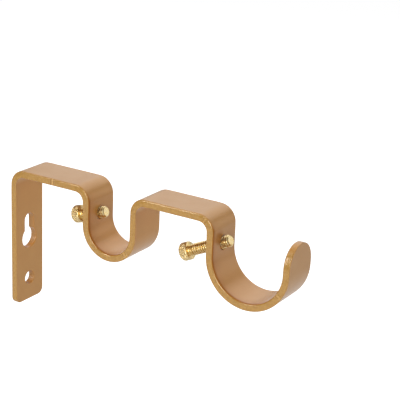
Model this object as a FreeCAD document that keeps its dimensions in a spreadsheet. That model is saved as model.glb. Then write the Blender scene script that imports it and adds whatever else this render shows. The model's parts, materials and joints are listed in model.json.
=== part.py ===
import FreeCAD, Part
import math
import os
import Sketcher

# Curtain pole bracket in millimetres: +X away from the wall, +Y along the wall, +Z up.
# The origin lies on the wall side of the plate, at mid width, between its two fixing holes.

SIZES = [
    # the strip
    ("strip_width", 21.2),
    ("strip_thickness", 3.5),
    ("bend_radius", 4.75),
    ("edge_radius", 0.7),
    ("edge_chamfer", 0.3),
    # wall plate and its fixing holes
    ("foot_drop", 22.3),
    ("foot_corner_radius", 3.5),
    ("fixing_hole_diameter", 7.0),
    ("fixing_hole_drop", 10.4),
    ("keyhole_round_diameter", 11.0),
    ("keyhole_round_height", 12.1),
    ("keyhole_slot_height", 22.0),
    # arm, bridge and the two saddles: each drop is measured from the top face down to the curve's centre
    ("arm_height", 51.4),
    ("inner_saddle_reach", 49.1),
    ("inner_saddle_width", 24.4),
    ("inner_saddle_drop", 19.6),
    ("bridge_rise", 0.8),
    ("bridge_span", 46.7),
    ("outer_saddle_width", 36.8),
    ("outer_saddle_drop", 19.3),
    ("tip_rise", 2.6),
    # thumb screws and the slanting holes they turn in
    ("thread_diameter", 5.8),
    ("thread_clearance", 0.05),
    ("tip_chamfer", 0.7),
    ("head_diameter", 9.0),
    ("head_thickness", 4.3),
    ("head_chamfer", 0.4),
    ("knurl_depth", 0.3),
    ("knurl_width", 0.7),
    ("inner_screw_lift", 3.8),
    ("inner_screw_angle", 16.0),
    ("inner_screw_shank", 15.0),
    ("inner_screw_reach", 5.2),
    ("outer_screw_lift", 3.4),
    ("outer_screw_angle", 25.0),
    ("outer_screw_shank", 24.0),
    ("outer_screw_reach", 6.0),
]
KNURL_COUNT = 24
CUT_MARGIN = 1.0

# ends and centre of a drawn element, and the axes of the plane that it is drawn in
START, END, CENTRE = range(1, 4)
H_AXIS, V_AXIS = range(-1, -3, -1)
ORIGIN = (H_AXIS, START)

# worked out from the sizes above
DERIVED = [
    ("bridge_height", "=arm_height + bridge_rise"),
    ("inner_saddle_height", "=arm_height - inner_saddle_drop"),
    ("outer_saddle_height", "=bridge_height - outer_saddle_drop"),
    ("outer_saddle_reach", "=inner_saddle_reach + inner_saddle_width + bridge_span"),
    ("tip_reach", "=outer_saddle_reach + outer_saddle_width"),
    ("tip_centre_height", "=outer_saddle_height + tip_rise"),
    ("tip_height", "=tip_centre_height + strip_width / 2"),
    ("inner_screw_height", "=inner_saddle_height + inner_screw_lift"),
    ("outer_screw_height", "=outer_saddle_height + outer_screw_lift"),
    ("screw_hole_radius", "=thread_diameter / 2 + thread_clearance"),
    ("screw_hole_half_length", "=2 * strip_thickness"),
]

doc = FreeCAD.newDocument("curtain_pole_bracket")
sheet = doc.addObject("Spreadsheet::Sheet", "Sizes")
for row, (name, value) in enumerate(SIZES + DERIVED, start=1):
    sheet.set("A%d" % row, name)
    sheet.set("B%d" % row, str(value))
    sheet.setAlias("B%d" % row, name)
doc.recompute()
size = {name: sheet.get(name) for name, value in SIZES + DERIVED}


def new_body(name):
    body = doc.addObject("PartDesign::Body", name)
    body.Label = name
    return body


def origin_part(body, role):
    return [item for item in body.Origin.OriginFeatures if item.Role == role][0]


def new_sketch(body, role, name):
    sketch = body.newObject("Sketcher::SketchObject", name)
    sketch.AttachmentSupport = [(origin_part(body, role), "")]
    sketch.MapMode = "FlatFace"
    return sketch


def limit(sketch, kind, *args):
    return sketch.addConstraint(Sketcher.Constraint(kind, *args))


def drive(sketch, kind, args, value, expression):
    index = limit(sketch, kind, *args, value)
    sketch.setExpression("Constraints[%d]" % index, expression)


def add_line(sketch, start, end):
    segment = Part.LineSegment(FreeCAD.Vector(start[0], start[1], 0), FreeCAD.Vector(end[0], end[1], 0))
    return sketch.addGeometry(segment, False)


def add_arc(sketch, centre, radius, start_deg, end_deg):
    circle = Part.Circle(FreeCAD.Vector(centre[0], centre[1], 0), FreeCAD.Vector(0, 0, 1), radius)
    arc = Part.ArcOfCircle(circle, math.radians(start_deg), math.radians(end_deg))
    return sketch.addGeometry(arc, False)


def add_polygon(sketch, points):
    """Closed outline through the points; level and upright sides are held so."""
    lines = []
    for number, start in enumerate(points):
        end = points[(number + 1) % len(points)]
        line = add_line(sketch, start, end)
        if start[1] == end[1]:
            limit(sketch, "Horizontal", line)
        elif start[0] == end[0]:
            limit(sketch, "Vertical", line)
        lines.append(line)
    for number, line in enumerate(lines):
        limit(sketch, "Coincident", line, END, lines[(number + 1) % len(lines)], START)
    return lines


# The strip: its side view is drawn once, top face and under face, and padded to the width.

thickness = size["strip_thickness"]
half_width = size["strip_width"] / 2
foot = -size["foot_drop"]
outer_bend = size["bend_radius"] + thickness
inner_radius = size["inner_saddle_width"] / 2
outer_radius = size["outer_saddle_width"] / 2
arm_level = size["arm_height"] - outer_bend
bridge_level = size["bridge_height"] - outer_bend
inner_near = size["inner_saddle_reach"]
inner_far = inner_near + size["inner_saddle_width"]
outer_near = size["outer_saddle_reach"]
tip_reach = size["tip_reach"]
tip_height = size["tip_height"]

# centre, first and last angle, end met first, end left by, radius on the top face, bend or saddle's name
ARCS = [
    ((outer_bend, arm_level), 90, 180, END, START, outer_bend, "bend"),
    ((inner_near - outer_bend, arm_level), 0, 90, END, START, outer_bend, "bend"),
    ((inner_near + inner_radius, size["inner_saddle_height"]), 180, 360, START, END, inner_radius, "inner"),
    ((inner_far + outer_bend, bridge_level), 90, 180, END, START, outer_bend, "bend"),
    ((outer_near - outer_bend, bridge_level), 0, 90, END, START, outer_bend, "bend"),
    ((outer_near + outer_radius, size["outer_saddle_height"]), 180, 360, START, END, outer_radius, "outer"),
]
ARM, BRIDGE = 1, 4


def arc_end(centre, radius, angle):
    return (centre[0] + radius * math.cos(math.radians(angle)),
            centre[1] + radius * math.sin(math.radians(angle)))


def add_face(sketch, start, end, depth):
    """One face of the strip as tangent lines and arcs; depth is its distance below the top face."""
    lines = []
    arcs = []
    point = start
    for centre, first, last, entry, leave, radius, kind in ARCS:
        face_radius = radius - depth if kind == "bend" else radius + depth
        low, high = arc_end(centre, face_radius, first), arc_end(centre, face_radius, last)
        arrive, depart = (low, high) if entry == START else (high, low)
        lines.append(add_line(sketch, point, arrive))
        arcs.append(add_arc(sketch, centre, face_radius, first, last))
        point = depart
    lines.append(add_line(sketch, point, end))
    for number, (centre, first, last, entry, leave, radius, kind) in enumerate(ARCS):
        limit(sketch, "Tangent", lines[number], END, arcs[number], entry)
        limit(sketch, "Tangent", arcs[number], leave, lines[number + 1], START)
    for number, line in enumerate(lines):
        limit(sketch, "Horizontal" if number in (ARM, BRIDGE) else "Vertical", line)
    return lines, arcs


strip = new_body("bracket_strip")
side_view = new_sketch(strip, "XZ_Plane", "strip_side_view")
top_lines, top_arcs = add_face(side_view, (0, foot), (tip_reach, tip_height), 0)
under_lines, under_arcs = add_face(side_view, (thickness, foot), (tip_reach + thickness, tip_height),
                                   thickness)
foot_line = add_line(side_view, (0, foot), (thickness, foot))
tip_line = add_line(side_view, (tip_reach, tip_height), (tip_reach + thickness, tip_height))
for cap, top, under, end in ((foot_line, top_lines[0], under_lines[0], START),
                             (tip_line, top_lines[-1], under_lines[-1], END)):
    limit(side_view, "Coincident", cap, START, top, end)
    limit(side_view, "Coincident", cap, END, under, end)
    limit(side_view, "Horizontal", cap)
for top_arc, under_arc in zip(top_arcs, under_arcs):
    limit(side_view, "Coincident", top_arc, CENTRE, under_arc, CENTRE)
limit(side_view, "PointOnObject", top_lines[0], START, V_AXIS)
drive(side_view, "DistanceX", (foot_line, START, foot_line, END), thickness, "Sizes.strip_thickness")
drive(side_view, "DistanceY", (top_lines[0], START, *ORIGIN), size["foot_drop"], "Sizes.foot_drop")
drive(side_view, "DistanceY", (*ORIGIN, top_lines[ARM], START), size["arm_height"], "Sizes.arm_height")
drive(side_view, "DistanceY", (*ORIGIN, top_lines[BRIDGE], START), size["bridge_height"],
      "Sizes.bridge_height")
drive(side_view, "DistanceY", (*ORIGIN, tip_line, START), tip_height, "Sizes.tip_height")
for (centre, first, last, entry, leave, radius, kind), top_arc, under_arc in zip(ARCS, top_arcs, under_arcs):
    if kind == "bend":
        drive(side_view, "Radius", (under_arc,), size["bend_radius"], "Sizes.bend_radius")
    else:
        for measure, points, name in (("Diameter", (top_arc,), kind + "_saddle_width"),
                                      ("DistanceX", (*ORIGIN, top_arc, START), kind + "_saddle_reach"),
                                      ("DistanceY", (*ORIGIN, top_arc, CENTRE), kind + "_saddle_height")):
            drive(side_view, measure, points, size[name], "Sizes." + name)

strip_pad = strip.newObject("PartDesign::Pad", "strip_pad")
strip_pad.Profile = side_view
strip_pad.SideType = "Symmetric"
strip_pad.setExpression("Length", "Sizes.strip_width")
doc.recompute()

# Rounded tip: everything outside a half circle as wide as the strip is cut off.

tip_outline = new_sketch(strip, "YZ_Plane", "tip_outline")
tip_outline.AttachmentOffset = FreeCAD.Placement(FreeCAD.Vector(0, 0, tip_reach - CUT_MARGIN),
                                                 FreeCAD.Rotation())
tip_outline.setExpression("AttachmentOffset.Base.z", "Sizes.tip_reach - %g" % CUT_MARGIN)
tip_centre = size["tip_centre_height"]
wide = half_width + CUT_MARGIN
high = tip_height + CUT_MARGIN
round_end = add_arc(tip_outline, (0, tip_centre), half_width, 0, 180)
corners = [(half_width, tip_centre), (wide, tip_centre), (wide, high), (-wide, high), (-wide, tip_centre),
           (-half_width, tip_centre)]
border = [add_line(tip_outline, start, end) for start, end in zip(corners, corners[1:])]
right_step, right_side, top_side, left_side, left_step = border
for line, following in zip(border, border[1:]):
    limit(tip_outline, "Coincident", line, END, following, START)
limit(tip_outline, "Coincident", round_end, START, right_step, START)
limit(tip_outline, "Coincident", round_end, END, left_step, END)
limit(tip_outline, "Horizontal", right_step)
limit(tip_outline, "Horizontal", left_step)
limit(tip_outline, "Vertical", right_side)
limit(tip_outline, "Vertical", left_side)
limit(tip_outline, "PointOnObject", round_end, CENTRE, V_AXIS)
limit(tip_outline, "Horizontal", round_end, CENTRE, round_end, START)
limit(tip_outline, "Horizontal", round_end, CENTRE, round_end, END)
limit(tip_outline, "Symmetric", right_side, END, top_side, END, V_AXIS)
limit(tip_outline, "DistanceX", right_step, START, right_step, END, CUT_MARGIN)
drive(tip_outline, "Radius", (round_end,), half_width, "Sizes.strip_width / 2")
drive(tip_outline, "DistanceY", (*ORIGIN, round_end, CENTRE), tip_centre, "Sizes.tip_centre_height")
drive(tip_outline, "DistanceY", (right_side, START, right_side, END), wide,
      "Sizes.strip_width / 2 + %g" % CUT_MARGIN)

tip_cut = strip.newObject("PartDesign::Pocket", "rounded_tip")
tip_cut.Profile = tip_outline
tip_cut.Reversed = True
tip_cut.setExpression("Length", "Sizes.strip_thickness + 2 * %g" % CUT_MARGIN)
doc.recompute()

# Edges: the outline of each face runs on smoothly all round, so the edge at the foot leads the whole of it.


def edges_at(shape, points):
    """Names of the straight edges whose middles are nearest to the points."""
    names = []
    for point in points:
        gaps = [((edge.CenterOfMass - FreeCAD.Vector(*point)).Length, number)
                for number, edge in enumerate(shape.Edges, start=1)]
        names.append("Edge%d" % min(gaps)[1])
    return names


def dress_edges(kind, name, points, size_field, expression):
    before = strip.Tip
    feature = strip.newObject(kind, name)
    feature.Base = (before, edges_at(before.Shape, points))
    feature.setExpression(size_field, expression)
    doc.recompute()


foot_edges = [(thickness / 2, half_width, foot), (thickness / 2, -half_width, foot)]
dress_edges("PartDesign::Fillet", "foot_corners", foot_edges, "Radius", "Sizes.foot_corner_radius")
dress_edges("PartDesign::Fillet", "rolled_edge", [(0, 0, foot)], "Radius", "Sizes.edge_radius")
dress_edges("PartDesign::Chamfer", "eased_edge", [(thickness, 0, foot)], "Size", "Sizes.edge_chamfer")

# Plate holes: a round one below and a keyhole above, its slot as wide as the round hole.

fixing_circle = new_sketch(strip, "YZ_Plane", "fixing_hole_outline")
rim = fixing_circle.addGeometry(Part.Circle(FreeCAD.Vector(0, -size["fixing_hole_drop"], 0),
                                            FreeCAD.Vector(0, 0, 1), size["fixing_hole_diameter"] / 2), False)
limit(fixing_circle, "PointOnObject", rim, CENTRE, V_AXIS)
drive(fixing_circle, "Diameter", (rim,), size["fixing_hole_diameter"], "Sizes.fixing_hole_diameter")
drive(fixing_circle, "DistanceY", (rim, CENTRE, *ORIGIN), size["fixing_hole_drop"], "Sizes.fixing_hole_drop")

keyhole = new_sketch(strip, "YZ_Plane", "keyhole_outline")
slot_half = size["fixing_hole_diameter"] / 2
round_radius = size["keyhole_round_diameter"] / 2
round_level = size["keyhole_round_height"]
slot_level = size["keyhole_slot_height"]
mouth_deg = math.degrees(math.acos(slot_half / round_radius))
mouth_level = round_level + round_radius * math.sin(math.radians(mouth_deg))
round_part = add_arc(keyhole, (0, round_level), round_radius, 180 - mouth_deg, 360 + mouth_deg)
slot_right = add_line(keyhole, (slot_half, mouth_level), (slot_half, slot_level))
slot_end = add_arc(keyhole, (0, slot_level), slot_half, 0, 180)
slot_left = add_line(keyhole, (-slot_half, slot_level), (-slot_half, mouth_level))
limit(keyhole, "Coincident", round_part, END, slot_right, START)
limit(keyhole, "Coincident", round_part, START, slot_left, END)
limit(keyhole, "Tangent", slot_right, END, slot_end, START)
limit(keyhole, "Tangent", slot_end, END, slot_left, START)
limit(keyhole, "Vertical", slot_right)
limit(keyhole, "Vertical", slot_left)
limit(keyhole, "PointOnObject", round_part, CENTRE, V_AXIS)
limit(keyhole, "PointOnObject", slot_end, CENTRE, V_AXIS)
drive(keyhole, "Diameter", (round_part,), 2 * round_radius, "Sizes.keyhole_round_diameter")
drive(keyhole, "Diameter", (slot_end,), 2 * slot_half, "Sizes.fixing_hole_diameter")
drive(keyhole, "DistanceY", (*ORIGIN, round_part, CENTRE), round_level, "Sizes.keyhole_round_height")
drive(keyhole, "DistanceY", (*ORIGIN, slot_end, CENTRE), slot_level, "Sizes.keyhole_slot_height")

for outline, name in ((fixing_circle, "fixing_hole"), (keyhole, "keyhole")):
    pocket = strip.newObject("PartDesign::Pocket", name)
    pocket.Profile = outline
    pocket.Reversed = True
    pocket.setExpression("Length", "Sizes.strip_thickness + %g" % CUT_MARGIN)
doc.recompute()

# Slanting screw holes through the wall-side leg of each saddle.

bore_radius = size["screw_hole_radius"]
half_cut = size["screw_hole_half_length"]
for side in ("inner", "outer"):
    outline = new_sketch(strip, "XZ_Plane", side + "_screw_hole_outline")
    outline.AttachmentOffset = FreeCAD.Placement(
        FreeCAD.Vector(size[side + "_saddle_reach"] - thickness / 2, size[side + "_screw_height"], 0),
        FreeCAD.Rotation(FreeCAD.Vector(0, 0, 1), size[side + "_screw_angle"]))
    outline.setExpression("AttachmentOffset.Base.x",
                          "Sizes.%s_saddle_reach - Sizes.strip_thickness / 2" % side)
    outline.setExpression("AttachmentOffset.Base.y", "Sizes.%s_screw_height" % side)
    outline.setExpression("AttachmentOffset.Rotation.Angle", "Sizes.%s_screw_angle * 1 deg" % side)
    axis_side, far_side, *others = add_polygon(
        outline, [(-half_cut, 0), (half_cut, 0), (half_cut, bore_radius), (-half_cut, bore_radius)])
    limit(outline, "PointOnObject", axis_side, START, H_AXIS)
    drive(outline, "DistanceX", (axis_side, START, *ORIGIN), half_cut, "Sizes.screw_hole_half_length")
    drive(outline, "DistanceX", (*ORIGIN, axis_side, END), half_cut, "Sizes.screw_hole_half_length")
    drive(outline, "DistanceY", (far_side, START, far_side, END), bore_radius, "Sizes.screw_hole_radius")
    hole = strip.newObject("PartDesign::Groove", side + "_screw_hole")
    hole.Profile = outline
    hole.ReferenceAxis = (outline, ["H_Axis"])
    hole.Angle = 360
doc.recompute()

# Thumb screws: turned about their own X axis, knurled, then set into their slanting holes.


def build_screw(side):
    screw = new_body(side + "_thumb_screw")
    reach = size[side + "_screw_reach"]
    under_head = reach - size[side + "_screw_shank"]
    head_face = under_head - size["head_thickness"]
    head_radius = size["head_diameter"] / 2
    shank_radius = size["thread_diameter"] / 2
    bevel = size["head_chamfer"]
    tip_bevel = size["tip_chamfer"]

    profile = new_sketch(screw, "XZ_Plane", side + "_screw_profile")
    sides = add_polygon(profile, [
        (head_face, 0), (head_face, head_radius - bevel), (head_face + bevel, head_radius),
        (under_head - bevel, head_radius), (under_head, head_radius - bevel), (under_head, shank_radius),
        (reach - tip_bevel, shank_radius), (reach, shank_radius - tip_bevel), (reach, 0)])
    face, face_bevel, rim, back_bevel, head_back, shank, shank_bevel, shank_end, axis_side = sides
    limit(profile, "PointOnObject", face, START, H_AXIS)
    drive(profile, "DistanceX", (*ORIGIN, axis_side, START), reach, "Sizes.%s_screw_reach" % side)
    drive(profile, "DistanceX", (head_back, END, shank_end, START), size[side + "_screw_shank"],
          "Sizes.%s_screw_shank" % side)
    drive(profile, "DistanceX", (face, END, head_back, START), size["head_thickness"], "Sizes.head_thickness")
    drive(profile, "DistanceY", (*ORIGIN, rim, START), head_radius, "Sizes.head_diameter / 2")
    drive(profile, "DistanceY", (*ORIGIN, shank, START), shank_radius, "Sizes.thread_diameter / 2")
    for line, low, high, wide, expression in ((face_bevel, START, END, bevel, "Sizes.head_chamfer"),
                                              (back_bevel, END, START, bevel, "Sizes.head_chamfer"),
                                              (shank_bevel, END, START, tip_bevel, "Sizes.tip_chamfer")):
        drive(profile, "DistanceX", (line, START, line, END), wide, expression)
        drive(profile, "DistanceY", (line, low, line, high), wide, expression)
    turned = screw.newObject("PartDesign::Revolution", side + "_screw_turned")
    turned.Profile = profile
    turned.ReferenceAxis = (origin_part(screw, "X_Axis"), [""])
    turned.Angle = 360

    half_notch = size["knurl_width"] / 2
    notch = new_sketch(screw, "YZ_Plane", side + "_knurl_notch")
    notch.AttachmentOffset = FreeCAD.Placement(FreeCAD.Vector(0, 0, under_head), FreeCAD.Rotation())
    notch.setExpression("AttachmentOffset.Base.z",
                        "Sizes.%s_screw_reach - Sizes.%s_screw_shank" % (side, side))
    slope, mouth, other_slope = add_polygon(notch, [
        (0, head_radius - size["knurl_depth"]), (half_notch, head_radius), (-half_notch, head_radius)])
    limit(notch, "PointOnObject", slope, START, V_AXIS)
    drive(notch, "DistanceX", (mouth, END, mouth, START), 2 * half_notch, "Sizes.knurl_width")
    drive(notch, "DistanceX", (slope, START, mouth, START), half_notch, "Sizes.knurl_width / 2")
    drive(notch, "DistanceY", (*ORIGIN, mouth, START), head_radius, "Sizes.head_diameter / 2")
    drive(notch, "DistanceY", (slope, START, mouth, START), size["knurl_depth"], "Sizes.knurl_depth")
    groove = screw.newObject("PartDesign::Pocket", side + "_knurl_groove")
    groove.Profile = notch
    groove.setExpression("Length", "Sizes.head_thickness")
    knurl = screw.newObject("PartDesign::PolarPattern", side + "_knurl")
    knurl.Originals = [groove]
    knurl.Axis = (origin_part(screw, "X_Axis"), [""])
    knurl.Angle = 360
    knurl.Occurrences = KNURL_COUNT
    screw.Tip = knurl

    screw.Placement = FreeCAD.Placement(
        FreeCAD.Vector(size[side + "_saddle_reach"] - thickness / 2, 0, size[side + "_screw_height"]),
        FreeCAD.Rotation(FreeCAD.Vector(0, -1, 0), size[side + "_screw_angle"]))
    screw.setExpression("Placement.Base.x", "Sizes.%s_saddle_reach - Sizes.strip_thickness / 2" % side)
    screw.setExpression("Placement.Base.z", "Sizes.%s_screw_height" % side)
    screw.setExpression("Placement.Rotation.Angle", "Sizes.%s_screw_angle * 1 deg" % side)
    return screw


screws = [build_screw(side) for side in ("inner", "outer")]
doc.recompute()

for item in doc.Objects:
    if "Invalid" in item.State or "Error" in item.State:
        raise RuntimeError("%s did not compute: %s" % (item.Label, item.State))

os.makedirs("parts", exist_ok=True)
for body in [strip] + screws:
    if not body.Shape.isValid() or len(body.Shape.Solids) != 1:
        raise RuntimeError("%s is not one valid solid" % body.Label)
    body.Shape.exportStep("parts/%s.step" % body.Label)
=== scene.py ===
import bmesh
import bpy
import json
import math
import numpy as np
from mathutils import Matrix, Vector


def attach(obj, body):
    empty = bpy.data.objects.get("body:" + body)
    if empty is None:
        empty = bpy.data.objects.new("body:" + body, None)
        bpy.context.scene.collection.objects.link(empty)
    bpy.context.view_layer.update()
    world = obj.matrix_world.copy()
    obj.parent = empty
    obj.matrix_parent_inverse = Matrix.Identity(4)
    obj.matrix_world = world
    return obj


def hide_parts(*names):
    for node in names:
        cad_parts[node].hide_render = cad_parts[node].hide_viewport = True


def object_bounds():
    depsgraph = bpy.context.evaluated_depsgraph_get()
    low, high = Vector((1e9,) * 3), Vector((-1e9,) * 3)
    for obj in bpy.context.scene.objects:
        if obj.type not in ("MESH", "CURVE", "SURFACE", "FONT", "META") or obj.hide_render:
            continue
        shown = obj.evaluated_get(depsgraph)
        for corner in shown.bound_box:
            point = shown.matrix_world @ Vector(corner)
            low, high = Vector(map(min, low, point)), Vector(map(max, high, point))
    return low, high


# A curtain pole bracket of gold-painted strip, with a brass thumb screw in each saddle.
# Lengths are in millimetres where no line says otherwise. The frame is the part's own: +X away from the
# wall, +Z up, and the wall side of the plate at x = 0.

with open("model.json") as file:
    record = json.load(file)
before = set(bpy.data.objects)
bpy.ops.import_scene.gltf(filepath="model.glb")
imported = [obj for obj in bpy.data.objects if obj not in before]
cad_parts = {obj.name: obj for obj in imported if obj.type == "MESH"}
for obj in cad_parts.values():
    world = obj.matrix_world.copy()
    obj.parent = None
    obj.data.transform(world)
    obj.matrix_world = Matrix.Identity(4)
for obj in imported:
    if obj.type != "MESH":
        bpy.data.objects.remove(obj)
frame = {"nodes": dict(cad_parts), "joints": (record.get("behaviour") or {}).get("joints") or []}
cad_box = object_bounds()
MM = 0.001

# the strip's side view, along the face that is outside at the square bends
STRIP_WIDTH = 21.2
STRIP_THICKNESS = 3.5
FOOT_DROP = 22.3
ARM_HEIGHT = 51.4
BRIDGE_HEIGHT = 52.2
OUTER_BEND = 8.25
INNER_SADDLE_REACH = 49.1
INNER_SADDLE_WIDTH = 24.4
INNER_SADDLE_HEIGHT = 31.8
OUTER_SADDLE_REACH = 120.2
OUTER_SADDLE_WIDTH = 36.8
OUTER_SADDLE_HEIGHT = 32.9
TIP_CENTRE_HEIGHT = 35.5
FOOT_CORNER_RADIUS = 3.5

# radii of its soft edges, outside and inside the square bends
ROLLED_EDGE = 0.75
EASED_EDGE = 0.3
# how far the pressed inside of a square bend swells sideways, and how far past the bend that fades
BEND_SWELL = 0.14
BEND_FADE = 3.0

# how finely it is divided: gap to the extra row beside a rounding, faces across, length of a face on a run,
# turn of a face on a bend in degrees, and steps round a soft edge, a foot corner and half the tip
SUPPORT_GAP = 0.25
COLUMNS = 8
RUN_STEP = 2.5
TURN_STEP = 3.0
EDGE_STEPS = 6
FOOT_STEPS = 6
TIP_STEPS = 30
# turn in degrees at which the sides of the tip end and its short closing row begins
TIP_TURN = 88
# places nearer than this are the same place
SAME_PLACE = 1e-6

# press marks across its edges: number of the leg of the path, share of its length, and share of full depth
PRESS_MARKS = ((2, 0.565, 1.0), (5, 0.747, 0.7), (9, 0.33, 0.6), (11, 0.823, 0.5))
MARK_DEPTH = 0.3
# each mark is two notches with a land between, the notches in painted shade and the land with a painted
# highlight:
# place along the strip, share of the mark's depth, and tone from -1 for painted shade to 1 for painted
# highlight
MARK_ROWS = (
    (-1.2, 0, 0),
    (-0.85, 1, -1),
    (-0.5, 0, 0.7),
    (0, 0, 1),
    (0.5, 0, 0.7),
    (0.85, 1, -1),
    (1.2, 0, 0),
)

# where painted shade and gold-on-gold reflection redden the saddles' near inside rim: numbers of the first
# and last leg of each saddle, how far past them that fades, and how wide the band along the rim is
SADDLES = ((4, 6), (10, 12))
SADDLE_SHADE_FADE = 6.0
SADDLE_SHADE_WIDTH = 6.0

# plate holes; the slot of the keyhole is as wide as the fixing hole
FIXING_HOLE_RADIUS = 3.5
FIXING_HOLE_DROP = 10.4
KEYHOLE_RADIUS = 5.5
KEYHOLE_HEIGHT = 12.1
SLOT_HEIGHT = 22.0
# how much the rims of the plate's and the screws' holes are eased, on the wall side and on the room side
PLATE_RIMS = (0.02, 0.3)
SCREW_RIMS = (0.3, 0.7)
# how far a cutter stands out of the strip
CUT_MARGIN = 1.0
# its points round a circle, round the top of the keyhole's slot and round the keyhole's head
CIRCLE_POINTS = 64
SLOT_POINTS = 33
KEYHOLE_POINTS = 65

# thumb screws
THREAD_RADIUS = 2.9
THREAD_PITCH = 1.25
THREAD_DEPTH = 0.72
BORE_RADIUS = 2.95
HEAD_RADIUS = 4.5
HEAD_THICKNESS = 4.3
HEAD_CHAMFER = 0.4
TIP_CHAMFER = 0.7
# groove that ends the thread: place behind the tip, half width, depth, and how steep its flanks are
GROOVE_PLACE = 3.1
GROOVE_HALF_WIDTH = 0.5
GROOVE_DEPTH = 0.65
GROOVE_STEEPNESS = 1.5
# length without thread under the head, and its fillet: distances from the head and from the thread's root
NECK_LENGTH = 0.9
NECK_FILLET = ((0.0, 0.5), (0.1, 0.2), (0.3, 0.1))
KNURL_DEPTH = 0.22
KNURL_TEETH = 32
KNURL_ROWS = 4
# knurl and thread are triangle waves; gain and drop that flatten their crests and roots
KNURL_SHAPE = (1.7, 0.55)
THREAD_SHAPE = (1.6, 0.2)

# rings of a screw: radius of the last one at each end, which a single flat face closes
CENTRE_RADIUS = 0.02
# radius of the ring on the head's face, and of the one on the tip's
FACE_RING = 1.5
TIP_RING = 0.8
# how far the rims are eased, along the screw and across it
HEAD_RIM_ALONG = 0.03
HEAD_RIM_ACROSS = 0.1
TIP_RIM_ACROSS = 0.15
# how far from each end of the head the knurl's rings begin
KNURL_INSET = 0.08
# how many rings and points there are
KNURL_RINGS = 48
RINGS_PER_PITCH = 12
POINTS_PER_TOOTH = 6

# edges sharper than this, in degrees, break the smooth shading
STRIP_SHARP = 35
SCREW_SHARP = 50


def new_object(name, bm):
    mesh = bpy.data.meshes.new(name)
    bmesh.ops.recalc_face_normals(bm, faces=bm.faces)
    bm.to_mesh(mesh)
    bm.free()
    obj = bpy.data.objects.new(name, mesh)
    bpy.context.scene.collection.objects.link(obj)
    return obj


def apply_modifiers(obj):
    graph = bpy.context.evaluated_depsgraph_get()
    mesh = bpy.data.meshes.new_from_object(obj.evaluated_get(graph))
    obj.modifiers.clear()
    old = obj.data
    obj.data = mesh
    bpy.data.meshes.remove(old)


def smooth(obj, sharp_deg):
    """Smooth shading that stays flat on flat faces and breaks at edges sharper than sharp_deg."""
    bm = bmesh.new()
    bm.from_mesh(obj.data)
    for face in bm.faces:
        face.smooth = True
    for edge in bm.edges:
        edge.smooth = len(edge.link_faces) == 2 and edge.calc_face_angle(0) < math.radians(sharp_deg)
    bm.to_mesh(obj.data)
    bm.free()
    weighted = obj.modifiers.new("weighted_normals", "WEIGHTED_NORMAL")
    weighted.keep_sharp = True
    apply_modifiers(obj)


# The strip's path: straight runs and turns, each turn given by the radius of the path face and its angle,
# positive to the right. The other face lies one thickness to the right of the path.

inner_far = INNER_SADDLE_REACH + INNER_SADDLE_WIDTH
arm_turn = ARM_HEIGHT - OUTER_BEND
bridge_turn = BRIDGE_HEIGHT - OUTER_BEND
half_width = STRIP_WIDTH / 2
PATH = [
    ("run", arm_turn + FOOT_DROP, 0),
    ("turn", OUTER_BEND, 90),
    ("run", INNER_SADDLE_REACH - 2 * OUTER_BEND, 0),
    ("turn", OUTER_BEND, 90),
    ("run", arm_turn - INNER_SADDLE_HEIGHT, 0),
    ("turn", INNER_SADDLE_WIDTH / 2, -180),
    ("run", bridge_turn - INNER_SADDLE_HEIGHT, 0),
    ("turn", OUTER_BEND, 90),
    ("run", OUTER_SADDLE_REACH - inner_far - 2 * OUTER_BEND, 0),
    ("turn", OUTER_BEND, 90),
    ("run", bridge_turn - OUTER_SADDLE_HEIGHT, 0),
    ("turn", OUTER_SADDLE_WIDTH / 2, -180),
    ("run", TIP_CENTRE_HEIGHT + half_width - OUTER_SADDLE_HEIGHT, 0),
]


def trace_path():
    """Legs of the path, each as place along the strip, length, start, heading and turn; and its length."""
    legs = []
    along, place, heading = 0.0, Vector((0.0, -FOOT_DROP)), math.pi / 2
    for kind, amount, turn_deg in PATH:
        turn = -math.radians(turn_deg)
        length = amount if kind == "run" else amount * abs(turn)
        legs.append((along, length, place.copy(), heading, turn))
        along += length
        place, heading = walk(legs[-1], length)
    return legs, along


def walk(leg, distance):
    """Place and heading at a distance into a leg."""
    _, length, place, heading, turn = leg
    if not turn:
        return place + distance * Vector((math.cos(heading), math.sin(heading))), heading
    radius = length / turn
    centre = place + radius * Vector((-math.sin(heading), math.cos(heading)))
    heading = heading + turn * distance / length
    return centre - radius * Vector((-math.sin(heading), math.cos(heading))), heading


LEGS, LENGTH = trace_path()


def bend_weight(along):
    """1 inside a square bend, falling to 0 just past its ends."""
    weight = 0.0
    for start, length, _, _, turn in LEGS:
        if turn < 0:
            outside = max(start - along, along - start - length, 0)
            weight = max(weight, 1 - outside / BEND_FADE)
    return weight * weight * (3 - 2 * weight)


def saddle_shade_share(along, across, depth):
    """Share of painted saddle shade and reflection: 1 at a saddle's inside rim on the near side, 0 towards
    mid width, the arms and the outside.
    """
    share = 0.0
    for first, last in SADDLES:
        outside = max(LEGS[first][0] - along, along - LEGS[last][0] - LEGS[last][1], 0)
        share = max(share, 1 - outside / SADDLE_SHADE_FADE)
    to_rim = max(0.0, 1 - (half_width + across) / SADDLE_SHADE_WIDTH)
    return share * to_rim * (1 - depth / STRIP_THICKNESS)


def on_strip(along, across, depth):
    """Point of the bent strip that was at that place in the flat blank."""
    leg = [leg for leg in LEGS if leg[0] <= along + SAME_PLACE or leg is LEGS[0]][-1]
    place, heading = walk(leg, along - leg[0])
    swell = BEND_SWELL * bend_weight(along) * (2 * depth / STRIP_THICKNESS - 1) * across / half_width
    x = place.x + depth * math.sin(heading)
    z = place.y - depth * math.cos(heading)
    return Vector((x, across + swell, z)) * MM


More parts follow.
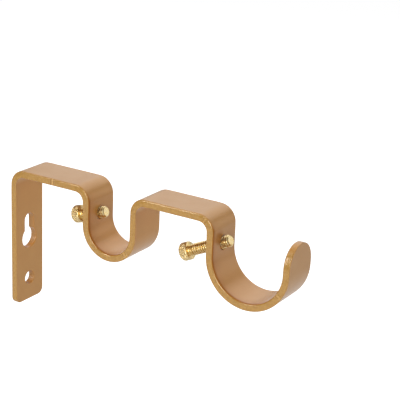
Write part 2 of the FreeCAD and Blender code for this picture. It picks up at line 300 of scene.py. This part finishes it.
def blank_rows():
    """Rows of the flat blank, foot to tip: place along it, half width, outward direction, mark's tone of
    painted shade to highlight.
    """
    rows = []
    corner = FOOT_CORNER_RADIUS
    for step in range(FOOT_STEPS + 1):
        angle = math.radians(90 * step / FOOT_STEPS)
        rows.append((corner - corner * math.cos(angle), half_width - corner + corner * math.sin(angle),
                     (-math.cos(angle), math.sin(angle)), 0))
    tip_start = LENGTH - half_width
    marks = [(LEGS[number][0] + share * LEGS[number][1], strength)
             for number, share, strength in PRESS_MARKS]
    plain = []
    for start, length, _, _, turn in LEGS:
        steps = max(1, round(math.degrees(abs(turn)) / TURN_STEP if turn else length / RUN_STEP))
        plain += [start + length * step / steps for step in range(steps)]
    for along in plain:
        clear = min(abs(along - mark) for mark, _ in marks) > MARK_ROWS[-1][0] + SUPPORT_GAP
        if clear and corner + SUPPORT_GAP < along < tip_start - SUPPORT_GAP:
            rows.append((along, half_width, (0, 1), 0))
    for mark, strength in marks:
        for place, dent, tone in MARK_ROWS:
            rows.append((mark + place, half_width - MARK_DEPTH * strength * dent, (0, 1), strength * tone))
    rows.sort(key=lambda row: row[0])
    for step in range(TIP_STEPS + 1):
        angle = math.radians(TIP_TURN * step / TIP_STEPS)
        rows.append((tip_start + half_width * math.sin(angle), half_width * math.cos(angle),
                     (math.sin(angle), math.cos(angle)), 0))
    return rows


def edge_profile():
    """(inset, depth) of each ring of the rounded edge, from the path face to the other one."""
    rings = [(ROLLED_EDGE + SUPPORT_GAP, 0.0)]
    for step in range(EDGE_STEPS + 1):
        angle = math.radians(90 * step / EDGE_STEPS)
        rings.append((ROLLED_EDGE * (1 - math.sin(angle)), ROLLED_EDGE * (1 - math.cos(angle))))
    rings.append((0.0, STRIP_THICKNESS / 2))
    for step in range(EDGE_STEPS + 1):
        angle = math.radians(90 * step / EDGE_STEPS)
        depth = STRIP_THICKNESS - EASED_EDGE * (1 - math.sin(angle))
        rings.append((EASED_EDGE * (1 - math.cos(angle)), depth))
    rings.append((EASED_EDGE + SUPPORT_GAP, STRIP_THICKNESS))
    return rings


def build_strip():
    rows = blank_rows()
    rings = edge_profile()
    bm = bmesh.new()
    # share of painted shade and gold-on-gold reflection in the saddles, per vertex
    saddle_shade = bm.verts.layers.float.new("saddle_shade")
    mark = bm.verts.layers.float.new("mark")
    shares = [2 * column / COLUMNS - 1 for column in range(COLUMNS + 1)]

    def point(row, share, inset, depth):
        along, half, (out_along, out_across), tone = rows[row]
        end = row in (0, len(rows) - 1)
        if end:
            out_along, out_across = (-1, 0) if row == 0 else (1, 0)
        place = (along - inset * out_along, share * (half - inset * out_across), depth)
        vertex = bm.verts.new(on_strip(*place))
        vertex[saddle_shade] = saddle_shade_share(*place)
        vertex[mark] = tone if 0 < depth < STRIP_THICKNESS else 0.0
        return vertex

    loops = []
    for inset, depth in rings:
        left = [point(row, -1, inset, depth) for row in range(len(rows))]
        tip = [point(len(rows) - 1, share, inset, depth) for share in shares[1:-1]]
        right = [point(row, 1, inset, depth) for row in reversed(range(len(rows)))]
        foot = [point(0, share, inset, depth) for share in reversed(shares[1:-1])]
        loops.append((left, tip, right, foot))
    around = [left + tip + right + foot for left, tip, right, foot in loops]
    for ring, following in zip(around, around[1:]):
        for index in range(len(ring)):
            after = (index + 1) % len(ring)
            bm.faces.new((ring[index], ring[after], following[after], following[index]))
    for (inset, depth), (left, tip, right, foot) in ((rings[0], loops[0]), (rings[-1], loops[-1])):
        right = list(reversed(right))
        grid = [[left[0], *reversed(foot), right[0]]]
        for row in range(1, len(rows) - 1):
            across = [point(row, share, inset, depth) for share in shares[1:-1]]
            grid.append([left[row], *across, right[row]])
        grid.append([left[-1], *tip, right[-1]])
        for line, following in zip(grid, grid[1:]):
            for column in range(COLUMNS):
                bm.faces.new((line[column], line[column + 1], following[column + 1], following[column]))
    return new_object("strip_visual", bm)


def round_outline(radius, stretch=1.0):
    """Outline of a circle, or of an ellipse stretched upright, that can be grown by an offset."""
    def outline(offset):
        return [((radius + offset) * math.cos(angle), (radius + offset) * stretch * math.sin(angle))
                for angle in np.linspace(0, 2 * math.pi, CIRCLE_POINTS, endpoint=False)]
    return outline


def keyhole_outline(offset):
    """Round head with a narrower slot above it, grown by an offset."""
    slot, head = FIXING_HOLE_RADIUS + offset, KEYHOLE_RADIUS + offset
    rise = SLOT_HEIGHT - KEYHOLE_HEIGHT
    mouth = math.acos(slot / head)
    points = [(slot * math.cos(angle), rise + slot * math.sin(angle))
              for angle in np.linspace(0, math.pi, SLOT_POINTS)]
    points += [(head * math.cos(angle), head * math.sin(angle))
               for angle in np.linspace(math.pi - mouth, 2 * math.pi + mouth, KEYHOLE_POINTS)]
    return points


def cut_hole(strip, outline, face_x, height, eases, slant_deg=0.0):
    """Cuts a hole through the upright stretch whose faces are at face_x, with its rims eased that much."""
    low, high = min(face_x), max(face_x)
    middle = (low + high) / 2
    wall_ease, room_ease = eases
    levels = [(low - CUT_MARGIN, wall_ease + CUT_MARGIN), (low + wall_ease, 0), (high - room_ease, 0),
              (high + CUT_MARGIN, room_ease + CUT_MARGIN)]
    bm = bmesh.new()
    loops = []
    for x, offset in levels:
        shift = height + (x - middle) * math.tan(math.radians(slant_deg))
        loops.append([bm.verts.new(Vector((x, y, shift + z)) * MM) for y, z in outline(offset)])
    for ring, following in zip(loops, loops[1:]):
        for index in range(len(ring)):
            after = (index + 1) % len(ring)
            bm.faces.new((ring[index], ring[after], following[after], following[index]))
    bm.faces.new(loops[0])
    bm.faces.new(loops[-1])
    cutter = new_object("cutter", bm)
    boolean = strip.modifiers.new("hole", "BOOLEAN")
    boolean.operation = "DIFFERENCE"
    boolean.solver = "EXACT"
    boolean.object = cutter
    apply_modifiers(strip)
    bpy.data.objects.remove(cutter)


# Screws: each is turned as one grid of rings about its own axis, then set where its CAD node lies.

def triangle_wave(value):
    """0 at whole numbers, 1 halfway between them."""
    return 1 - np.abs(2 * (value - np.floor(value)) - 1)


def screw_axis(node, axis):
    """Matrix from a screw drawn along +X, with its head's face at 0, to its CAD node; and its length."""
    points = np.array([vertex.co for vertex in node.data.vertices]) / MM
    ahead = np.array(axis)
    side = np.array([0.0, 1.0, 0.0])
    up = np.cross(ahead, side)
    middles = [(points @ way).min() / 2 + (points @ way).max() / 2 for way in (side, up)]
    start = (points @ ahead).min() * ahead + middles[0] * side + middles[1] * up
    matrix = Matrix.Translation(Vector(start) * MM) @ Matrix((ahead, side, up)).transposed().to_4x4()
    return matrix, (points @ ahead).max() - (points @ ahead).min()


def plain_rings(rows):
    """Rings with neither knurl, thread nor groove, from the place and radius of each."""
    return [(place, radius, 0, 0, 0) for place, radius in rows]


def ring_table(length):
    """Place, radius, and shares of knurl, thread and groove of each ring, from the head to the tip."""
    face = HEAD_RADIUS - HEAD_CHAMFER
    rings = plain_rings([(0.0, CENTRE_RADIUS), (0.0, FACE_RING), (0.0, face - HEAD_RIM_ACROSS),
                         (HEAD_RIM_ALONG, face)])
    for step in range(KNURL_RINGS + 1):
        place = KNURL_INSET + (HEAD_THICKNESS - 2 * KNURL_INSET) * step / KNURL_RINGS
        to_end = min(place, HEAD_THICKNESS - place)
        radius = HEAD_RADIUS - max(0.0, HEAD_CHAMFER - to_end)
        rings.append((place, radius, min(1.0, to_end / HEAD_CHAMFER), 0, 0))
    root = THREAD_RADIUS - THREAD_DEPTH
    rings += plain_rings([(HEAD_THICKNESS - HEAD_RIM_ALONG, face),
                          (HEAD_THICKNESS, face - HEAD_RIM_ACROSS)])
    rings += plain_rings([(HEAD_THICKNESS + away, root + rise) for away, rise in NECK_FILLET])
    neck = HEAD_THICKNESS + NECK_LENGTH
    steps = round((length - neck) / THREAD_PITCH * RINGS_PER_PITCH)
    for step in range(steps + 1):
        place = neck + (length - neck) * step / steps
        share = min(1.0, (place - neck) / THREAD_PITCH)
        near_groove = max(0.0, 1 - abs(length - place - GROOVE_PLACE) / GROOVE_HALF_WIDTH)
        groove = min(1.0, GROOVE_STEEPNESS * near_groove)
        reach = min(THREAD_RADIUS, THREAD_RADIUS - TIP_CHAMFER + length - place)
        rings.append((place, reach - GROOVE_DEPTH * groove, 0, share, groove))
    flat = THREAD_RADIUS - TIP_CHAMFER
    rings += plain_rings([(length, flat - TIP_RIM_ACROSS), (length, TIP_RING), (length, CENTRE_RADIUS)])
    return rings


def flatten(wave, shape):
    """The wave with flat crests and roots, between 0 and 1."""
    gain, drop = shape
    return np.clip(wave * gain - drop, 0, 1)


def build_screw(name, node, axis):
    matrix, length = screw_axis(node, axis)
    segments = KNURL_TEETH * POINTS_PER_TOOTH
    angles = np.linspace(0, 2 * math.pi, segments, endpoint=False)
    turns = angles / (2 * math.pi)
    bm = bmesh.new()
    cavity = bm.verts.layers.float.new("cavity")
    loops = []
    for place, radius, knurled, threaded, grooved in ring_table(length):
        rows = (place / HEAD_THICKNESS) * KNURL_ROWS
        rising = triangle_wave(turns * KNURL_TEETH + rows)
        falling = triangle_wave(turns * KNURL_TEETH - rows)
        knurl = KNURL_DEPTH * knurled * flatten(np.maximum(rising, falling), KNURL_SHAPE)
        wave = flatten(triangle_wave(place / THREAD_PITCH - turns), THREAD_SHAPE)
        crest = THREAD_RADIUS - THREAD_DEPTH * (1 - wave * threaded)
        profile = np.minimum(radius, crest) if threaded else radius - knurl
        depth = (1 - wave) * threaded + knurl / KNURL_DEPTH + grooved
        loop = []
        for angle, reach, deep in zip(angles, np.broadcast_to(profile, angles.shape), depth):
            vertex = bm.verts.new((place * MM, reach * math.cos(angle) * MM, reach * math.sin(angle) * MM))
            vertex[cavity] = float(deep)
            loop.append(vertex)
        loops.append(loop)
    for ring, following in zip(loops, loops[1:]):
        for index in range(segments):
            after = (index + 1) % segments
            bm.faces.new((ring[index], ring[after], following[after], following[index]))
    bm.faces.new(loops[0])
    bm.faces.new(loops[-1])
    bm.transform(matrix)
    return new_object(name, bm)


# Gold paint. Colours are linear, spans are where a share runs from none to full, grains are in millimetres.

METALLIC = 0.1
PAINT_IOR = 1.7
PAINT_GLOSS = 0.5
PAINT_SHEEN = 0.5
SHEEN_ROUGHNESS = 0.3
CLOUD_GRAIN = 9.0
PAINT_GRAIN = 1.5
CLOUD_DETAIL = 3.0
# faces and sheared edges, each with the colour of its darker blotches
FACE_GOLD = (0.60, 0.282, 0.050)
FACE_GOLD_DEEP = (0.58, 0.266, 0.048)
FACE_ROUGHNESS = (0.34, 0.40)
EDGE_GOLD = (0.487, 0.257, 0.041)
EDGE_GOLD_DEEP = (0.38, 0.188, 0.027)
EDGE_ROUGHNESS = (0.15, 0.24)
# how far sideways the surface faces where a sheared edge begins and is full
EDGE_TILT = (0.5, 0.85)
# and where the painted shade line beside it begins to fade and is gone
LINE_TILT = (0.4, 0.8)
# pale flakes
FLAKE_GRAIN = 0.16
FLAKE_SPAN = (0.55, 0.75)
FLAKE_TONE = 0.35
GOLD_FLAKE = (0.70, 0.39, 0.11)
# painted shade and gold-on-gold reflection at the saddles' near inside rims: its colour and strength
SADDLE_SHADE_GOLD = (0.55, 0.205, 0.012)
SADDLE_SHADE_TONE = 0.9
# painted shade line beside the edge in the saddles, where the rolled edge would mirror dark surroundings:
# how far from the edge it begins and is full
SHADE_LINE = (2.2, 0.9)
# share of the saddles' painted shade at which the line shows in full
SHADE_LINE_FULL = 0.7
# colour and gloss of the painted shade line and of the painted shadow by the outer screw; the low gloss
# paints out their reflection
PAINTED_SHADE_GOLD = (0.42, 0.145, 0.012)
PAINTED_SHADE_GLOSS = 0.1
# walls of the holes: how far from mid width they end and the sheared edges begin, and their colour,
# darkened as painted shade inside the holes
WALL_REACH = (6.0, 6.8)
WALL_SHADE_GOLD = (0.42, 0.19, 0.034)
# painted shadow of the outer screw's tip on its leg, above its hole: its place on the face, how far it is
# full and how far it reaches, and its strength
SCREW_SHADOW_PLACE = (OUTER_SADDLE_REACH, -4.6, 40.9)
SCREW_SHADOW_SPAN = (1.8, 4.2)
SCREW_SHADOW_TONE = 0.65
# press marks: colours of the painted highlight on the land and of the painted shade in the notches, and
# their strength
MARK_HIGHLIGHT = (0.68, 0.39, 0.12)
MARK_SHADE = (0.26, 0.12, 0.012)
MARK_TONE = 0.7
# coarse and fine relief: grain, detail, height and strength on the faces; the strength is full on the edges
PEEL = (0.9, 1.0, 0.05, 0.3)
FINE_RELIEF = (0.2, 2.0, 0.008, 0.4)

# Brass, with the places in shade of thread and knurl darker
BRASS = (0.72, 0.53, 0.22)
BRASS_PALE = (0.84, 0.69, 0.41)
BRASS_DEEP = (0.34, 0.18, 0.035)
BRASS_ROUGHNESS = (0.22, 0.34)
DEEP_SPAN = (0.35, 1.0)
DEEP_TONE = 0.75
TARNISH_GRAIN = 1.4
SCRATCH_GRAIN = 0.25
SCRATCH_HEIGHT = 0.005
SCRATCH_STRENGTH = 0.5


def start_material(name):
    material = bpy.data.materials.new(name)
    material.use_nodes = True
    nodes, links = material.node_tree.nodes, material.node_tree.links
    return material, nodes, links, nodes["Principled BSDF"]


def put(links, value, socket):
    """Feeds a socket from another one, or sets it to a number or a colour."""
    if isinstance(value, bpy.types.NodeSocket):
        links.new(value, socket)
    elif isinstance(value, tuple):
        socket.default_value = (*value, 1)
    else:
        socket.default_value = value


def add_noise(nodes, links, grain_mm, detail=2.0):
    """Noise whose blotches are about grain_mm wide on the object."""
    where = nodes.new("ShaderNodeTexCoord")
    noise = nodes.new("ShaderNodeTexNoise")
    noise.inputs["Scale"].default_value = 1 / (grain_mm * MM)
    noise.inputs["Detail"].default_value = detail
    links.new(where.outputs["Object"], noise.inputs["Vector"])
    return noise.outputs["Fac"]


def add_attribute(nodes, name):
    """The value that the mesh carries under that name."""
    attribute = nodes.new("ShaderNodeAttribute")
    attribute.attribute_name = name
    return attribute.outputs["Fac"]


def add_range(nodes, links, source, low, high, start=0.3, end=0.7):
    """Stretches a value from start..end, where noise mostly lies, to low..high."""
    span = nodes.new("ShaderNodeMapRange")
    span.inputs["From Min"].default_value = start
    span.inputs["From Max"].default_value = end
    span.inputs["To Min"].default_value = low
    span.inputs["To Max"].default_value = high
    links.new(source, span.inputs["Value"])
    return span.outputs["Result"]


def add_math(nodes, links, operation, *values):
    step = nodes.new("ShaderNodeMath")
    step.operation = operation
    for socket, value in zip(step.inputs, values):
        put(links, value, socket)
    return step.outputs[0]


def add_mix(nodes, links, share, first, second, kind="RGBA"):
    """Blend of two colours, or of two numbers when its kind is FLOAT."""
    mix = nodes.new("ShaderNodeMix")
    mix.data_type = kind
    for name, value in (("Factor", share), ("A", first), ("B", second)):
        put(links, value, mix.inputs[name])
    return mix.outputs["Result"]


def add_bump(nodes, links, height, distance_mm, strength, below=None):
    """Relief on top of the one below."""
    bump = nodes.new("ShaderNodeBump")
    bump.inputs["Distance"].default_value = distance_mm * MM
    put(links, strength, bump.inputs["Strength"])
    links.new(height, bump.inputs["Height"])
    if below:
        links.new(below, bump.inputs["Normal"])
    return bump.outputs["Normal"]


def add_edge_shares(nodes, links):
    """Shares of sheared edge, which faces along Y, of the painted shade line beside it on the faces, and of
    hole wall.
    """
    where = nodes.new("ShaderNodeTexCoord")
    sizes = []
    for socket in ("Normal", "Object"):
        split = nodes.new("ShaderNodeSeparateXYZ")
        links.new(where.outputs[socket], split.inputs["Vector"])
        sizes.append(add_math(nodes, links, "ABSOLUTE", split.outputs["Y"]))
    sideways, across = sizes
    wall_end, edge_start = (reach * MM for reach in WALL_REACH)
    sheared = add_range(nodes, links, sideways, 0, 1, *EDGE_TILT)
    beyond = add_range(nodes, links, across, 0, 1, wall_end, edge_start)
    edge = add_math(nodes, links, "MULTIPLY", sheared, beyond)
    wall = add_math(nodes, links, "SUBTRACT", sheared, edge)
    line_start, line_full = ((half_width - inset) * MM for inset in SHADE_LINE)
    near_rim = add_range(nodes, links, across, 0, 1, line_start, line_full)
    before_edge = add_range(nodes, links, sideways, 1, 0, *LINE_TILT)
    return edge, add_math(nodes, links, "MULTIPLY", near_rim, before_edge), wall


def add_screw_shadow(nodes, links):
    """Strength of the painted shadow by the outer screw, falling to 0 round it."""
    where = nodes.new("ShaderNodeTexCoord")
    apart = nodes.new("ShaderNodeVectorMath")
    apart.operation = "DISTANCE"
    links.new(where.outputs["Object"], apart.inputs[0])
    apart.inputs[1].default_value = Vector(SCREW_SHADOW_PLACE) * MM
    full, whole = (reach * MM for reach in SCREW_SHADOW_SPAN)
    return add_range(nodes, links, apart.outputs["Value"], SCREW_SHADOW_TONE, 0, full, whole)


def add_face_and_edge(nodes, links, cloud, grain, edge, wall, saddle_shade):
    """Colour of faces, sheared edges and hole walls, with its blotches and flakes, the painted shade in the
    saddles and the painted shade on the hole walls.
    """
    clouded = add_range(nodes, links, cloud, 0, 1)
    saddle_shaded = add_range(nodes, links, saddle_shade, 0, SADDLE_SHADE_TONE, 0, 1)
    faces = add_mix(nodes, links, clouded, FACE_GOLD, FACE_GOLD_DEEP)
    faces = add_mix(nodes, links, saddle_shaded, faces, SADDLE_SHADE_GOLD)
    edges = add_mix(nodes, links, add_range(nodes, links, grain, 0, 1), EDGE_GOLD, EDGE_GOLD_DEEP)
    colour = add_mix(nodes, links, edge, faces, edges)
    flake = add_noise(nodes, links, FLAKE_GRAIN, detail=1.0)
    flaked = add_range(nodes, links, flake, 0, FLAKE_TONE, *FLAKE_SPAN)
    colour = add_mix(nodes, links, flaked, colour, GOLD_FLAKE)
    return add_mix(nodes, links, wall, colour, WALL_SHADE_GOLD)


def add_press_marks(nodes, links, colour):
    """The colour with the press marks' painted highlights and painted shade over it."""
    mark = add_attribute(nodes, "mark")
    pale = add_range(nodes, links, mark, 0, MARK_TONE, 0, 1)
    deep = add_range(nodes, links, mark, MARK_TONE, 0, -1, 0)
    colour = add_mix(nodes, links, pale, colour, MARK_HIGHLIGHT)
    return add_mix(nodes, links, deep, colour, MARK_SHADE)


def gold_paint():
    material, nodes, links, shader = start_material("gold_paint")
    cloud = add_noise(nodes, links, CLOUD_GRAIN, CLOUD_DETAIL)
    grain = add_noise(nodes, links, PAINT_GRAIN, CLOUD_DETAIL)
    edge, line, wall = add_edge_shares(nodes, links)
    # painted shade and gold-on-gold reflection at the saddles' near inside rims
    saddle_shade = add_attribute(nodes, "saddle_shade")
    # painted shade line beside the saddles' near edge, and painted shadow by the outer screw: darker, with
    # little reflection
    line_strength = add_range(nodes, links, saddle_shade, 0, 1, 0, SHADE_LINE_FULL)
    shade_line = add_math(nodes, links, "MULTIPLY", line, line_strength)
    painted_shade = add_math(nodes, links, "MAXIMUM", shade_line, add_screw_shadow(nodes, links))
    colour = add_face_and_edge(nodes, links, cloud, grain, edge, wall, saddle_shade)
    colour = add_mix(nodes, links, painted_shade, colour, PAINTED_SHADE_GOLD)
    links.new(add_press_marks(nodes, links, colour), shader.inputs["Base Color"])
    gloss = add_range(nodes, links, painted_shade, PAINT_GLOSS, PAINTED_SHADE_GLOSS, 0, 1)
    links.new(gloss, shader.inputs["Specular IOR Level"])
    face_rough = add_range(nodes, links, cloud, *FACE_ROUGHNESS)
    edge_rough = add_range(nodes, links, grain, *EDGE_ROUGHNESS)
    links.new(add_mix(nodes, links, edge, face_rough, edge_rough, kind="FLOAT"), shader.inputs["Roughness"])
    normal = None
    for size, detail, height, face_strength in (PEEL, FINE_RELIEF):
        strength = add_range(nodes, links, edge, face_strength, 1.0, 0, 1)
        normal = add_bump(nodes, links, add_noise(nodes, links, size, detail), height, strength, normal)
    links.new(normal, shader.inputs["Normal"])
    shader.inputs["Metallic"].default_value = METALLIC
    shader.inputs["IOR"].default_value = PAINT_IOR
    shader.inputs["Sheen Weight"].default_value = PAINT_SHEEN
    shader.inputs["Sheen Roughness"].default_value = SHEEN_ROUGHNESS
    return material


def screw_brass():
    material, nodes, links, shader = start_material("screw_brass")
    tarnish = add_noise(nodes, links, TARNISH_GRAIN, CLOUD_DETAIL)
    bright = add_mix(nodes, links, add_range(nodes, links, tarnish, 0, 1), BRASS, BRASS_PALE)
    deep = add_range(nodes, links, add_attribute(nodes, "cavity"), 0, DEEP_TONE, *DEEP_SPAN)
    links.new(add_mix(nodes, links, deep, bright, BRASS_DEEP), shader.inputs["Base Color"])
    links.new(add_range(nodes, links, tarnish, *BRASS_ROUGHNESS), shader.inputs["Roughness"])
    scratch = add_noise(nodes, links, SCRATCH_GRAIN)
    links.new(add_bump(nodes, links, scratch, SCRATCH_HEIGHT, SCRATCH_STRENGTH), shader.inputs["Normal"])
    shader.inputs["Metallic"].default_value = 1.0
    return material


def dress(obj, material, body, node):
    obj.data.materials.clear()
    obj.data.materials.append(material)
    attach(obj, body)
    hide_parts(node)


# The pieces

strip = build_strip()
cut_hole(strip, round_outline(FIXING_HOLE_RADIUS), (0, STRIP_THICKNESS), -FIXING_HOLE_DROP, PLATE_RIMS)
cut_hole(strip, keyhole_outline, (0, STRIP_THICKNESS), KEYHOLE_HEIGHT, PLATE_RIMS)
joints = {joint["child"]: joint for joint in frame["joints"]}
SCREWS = (("inner", INNER_SADDLE_REACH), ("outer", OUTER_SADDLE_REACH))
brass = screw_brass()
for side, reach in SCREWS:
    axis = joints[side + "_screw"]["axis"]
    node = side + "_thumb_screw"
    screw = build_screw(node + "_visual", frame["nodes"][node], axis)
    matrix, _ = screw_axis(frame["nodes"][node], axis)
    start = matrix.translation / MM
    slant = math.atan2(axis[2], axis[0])
    middle = reach - STRIP_THICKNESS / 2
    height = start.z + (middle - start.x) * math.tan(slant)
    bore = round_outline(BORE_RADIUS, 1 / math.cos(slant))
    faces = (middle - STRIP_THICKNESS / 2, reach)
    cut_hole(strip, bore, faces, height, SCREW_RIMS, math.degrees(slant))
    smooth(screw, SCREW_SHARP)
    dress(screw, brass, side + "_screw", node)
smooth(strip, STRIP_SHARP)
dress(strip, gold_paint(), "strip", "bracket_strip")

# Floor, light and camera. Lengths are in metres here, and in millimetres for the lens and its sensor.

FLOOR_DROP = 0.30
FLOOR_SIZE = 6.0
FLOOR_COLOUR = (0.85, 0.85, 0.85)
FLOOR_ROUGHNESS = 0.9
WHITE = (1, 1, 1)
# the place that camera and lights look at, and where the camera stands from there
TARGET = Vector((106.016, 0.0, 54.806)) * MM
VIEW_AZIMUTH = math.radians(31.222)
VIEW_ELEVATION = math.radians(18.909)
VIEW_ROLL = math.radians(2.517)
VIEW_DISTANCE = 0.571971
FOCAL_LENGTH = 110.04
SENSOR_WIDTH = 36.0
NEAR_CLIP = 0.01
# strength of the surroundings on surfaces and in mirror rays, and of the floor in mirror rays and as seen
AMBIENT = 0.16
SURROUND = 0.45
FLOOR_MIRRORED = 0.25
FLOOR_SEEN = 0.84
# each softbox: name, azimuth and elevation in degrees, distance, width, height, and power in watts
SOFTBOXES = (
    ("key", 15, 15, 1.6, 0.9, 0.9, 14.2),
    ("top", -56, 52, 1.6, 0.5, 0.5, 1.6),
    ("left", -33, 20, 1.6, 0.2, 1.0, 6.5),
    ("right", 130, 12, 1.6, 0.9, 0.9, 2.8),
    ("back", 195, 45, 1.6, 1.8, 1.8, 12.0),
)


def way_to(azimuth, elevation):
    """Unit vector from the object towards a place; azimuth 0 is straight in front of the near edge."""
    return Vector((math.sin(azimuth) * math.cos(elevation), -math.cos(azimuth) * math.cos(elevation),
                   math.sin(elevation)))


def by_ray(nodes, links, lit, mirrored, seen):
    """A strength for light on surfaces, another for mirror rays, and one for the camera and for glass."""
    rays = nodes.new("ShaderNodeLightPath").outputs
    straight = add_math(nodes, links, "MAXIMUM", rays["Is Camera Ray"], rays["Is Transmission Ray"])
    strength = add_math(nodes, links, "MULTIPLY_ADD", rays["Is Glossy Ray"], mirrored - lit, lit)
    return add_math(nodes, links, "MULTIPLY_ADD", straight, seen - lit, strength)


def add_floor():
    bm = bmesh.new()
    bmesh.ops.create_grid(bm, x_segments=2, y_segments=2, size=FLOOR_SIZE / 2)
    floor = new_object("floor", bm)
    floor.location = (TARGET.x, 0, cad_box[0].z - FLOOR_DROP)
    material, nodes, links, shader = start_material("floor_white")
    put(links, FLOOR_COLOUR, shader.inputs["Base Color"])
    shader.inputs["Roughness"].default_value = FLOOR_ROUGHNESS
    shader.inputs["Specular IOR Level"].default_value = 0.0
    links.new(by_ray(nodes, links, 0.0, FLOOR_MIRRORED, FLOOR_SEEN), shader.inputs["Emission Strength"])
    put(links, WHITE, shader.inputs["Emission Color"])
    floor.data.materials.append(material)


def add_world():
    world = bpy.data.worlds.new("studio")
    bpy.context.scene.world = world
    world.use_nodes = True
    nodes, links = world.node_tree.nodes, world.node_tree.links
    background = nodes["Background"]
    put(links, WHITE, background.inputs["Color"])
    links.new(by_ray(nodes, links, AMBIENT, SURROUND, 1.0), background.inputs["Strength"])


def add_softbox(name, azimuth, elevation, distance, width, height, watts):
    light = bpy.data.lights.new(name, "AREA")
    light.shape = "RECTANGLE"
    light.size = width
    light.size_y = height
    light.energy = watts
    obj = bpy.data.objects.new(name, light)
    away = way_to(math.radians(azimuth), math.radians(elevation))
    obj.location = TARGET + away * distance
    obj.rotation_mode = "QUATERNION"
    obj.rotation_quaternion = away.to_track_quat("Z", "Y")
    bpy.context.scene.collection.objects.link(obj)


def add_camera():
    camera = bpy.data.cameras.new("camera")
    camera.sensor_width = SENSOR_WIDTH
    camera.lens = FOCAL_LENGTH
    camera.clip_start = NEAR_CLIP
    obj = bpy.data.objects.new("camera", camera)
    back = way_to(VIEW_AZIMUTH, VIEW_ELEVATION)
    right = Vector((math.cos(VIEW_AZIMUTH), math.sin(VIEW_AZIMUTH), 0))
    up = back.cross(right)
    rolled_right = right * math.cos(VIEW_ROLL) + up * math.sin(VIEW_ROLL)
    rolled_up = up * math.cos(VIEW_ROLL) - right * math.sin(VIEW_ROLL)
    axes = Matrix((rolled_right, rolled_up, back)).transposed().to_4x4()
    obj.matrix_world = Matrix.Translation(TARGET + back * VIEW_DISTANCE) @ axes
    bpy.context.scene.collection.objects.link(obj)
    bpy.context.scene.camera = obj


add_floor()
add_world()
for softbox in SOFTBOXES:
    add_softbox(*softbox)
add_camera()
bpy.context.scene.view_settings.view_transform = "Standard"
